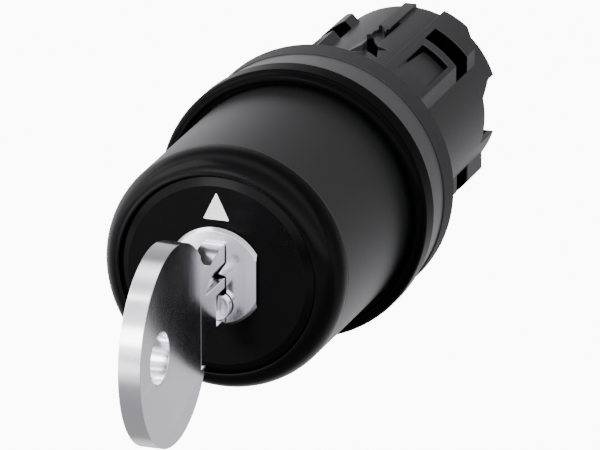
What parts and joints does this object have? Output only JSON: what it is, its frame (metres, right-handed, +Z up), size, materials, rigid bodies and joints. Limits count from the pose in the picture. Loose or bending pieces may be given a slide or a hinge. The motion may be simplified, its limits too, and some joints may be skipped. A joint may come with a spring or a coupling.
{
  "type": "selector key switch",
  "caption": "Panel-mounted key-operated selector actuator: a removable key turns a cylinder lock whose cam drives spring-returned plungers at the rear.",
  "frame": {"origin": "on the lock's axis at the panel plane, where the gasket's rear face rests", "axes": "+Y along the lock's axis from the operator's side to the rear, +Z up, +X to the operator's right"},
  "size_m": [0.0295, 0.0863, 0.0294],
  "materials": {
    "body_plastic": "dark grey moulded, satin",
    "support_plastic": "mid grey moulded, matt",
    "gasket_rubber": "dark grey, matt",
    "gloss_black": "polished black",
    "satin_black": "fine satin black",
    "pointer_white": "white, satin",
    "plug_chrome": "satin chrome plate",
    "key_nickel": "bright nickel plate",
    "die_cast": "bare zinc die casting",
    "brass": "turned",
    "spring_steel": "bright drawn",
    "seal_rubber": "black",
    "cam_plastic": "natural acetal",
    "guide_plastic": "grey moulded"
  },
  "bodies": {
    "housing": {"actuator_body": "body_plastic", "support_ring": "support_plastic", "panel_gasket": "gasket_rubber", "bezel_ring": "gloss_black", "lock_sleeve": "satin_black", "nose_ring": "gloss_black", "lock_case": "die_cast", "driver_pins": "brass", "pin_springs": "spring_steel", "chamber_strip": "brass", "disc_seal": "seal_rubber", "case_screws": "spring_steel", "detent_spring": "spring_steel", "rear_guide": "guide_plastic", "plunger_spring_left": "spring_steel", "plunger_spring_right": "spring_steel"},
    "rotor": {"lock_plug": "plug_chrome", "pointer_disc": "gloss_black", "pointer_mark": "pointer_white", "key_pins": "brass", "plug_clip": "spring_steel", "drive_tail": "brass", "cam_rotor": "cam_plastic"},
    "key": {"key": "key_nickel"},
    "plunger_left": {"plunger_left": "cam_plastic"},
    "plunger_right": {"plunger_right": "cam_plastic"}
  },
  "joints": [
    {"name": "key_turn", "type": "hinge", "parent": "housing", "child": "rotor", "pos_m": [0, 0, 0], "axis": [0, 1, 0], "range_deg": [-45, 45], "deforming": ["detent_spring"]},
    {"name": "key_withdraw", "type": "slide", "parent": "rotor", "child": "key", "axis": [0, -1, 0], "range_m": [0, 0.022]},
    {"name": "plunger_left_push", "type": "slide", "parent": "housing", "child": "plunger_left", "axis": [0, 1, 0], "range_m": [-0.002, 0.002], "deforming": ["plunger_spring_left"]},
    {"name": "plunger_right_push", "type": "slide", "parent": "housing", "child": "plunger_right", "axis": [0, 1, 0], "range_m": [-0.002, 0.002], "deforming": ["plunger_spring_right"]}
  ],
  "couplings": [
    {"joint": "plunger_left_push", "follows": "key_turn", "m_per_rad": -0.002476},
    {"joint": "plunger_right_push", "follows": "key_turn", "m_per_rad": 0.002476}
  ]
}
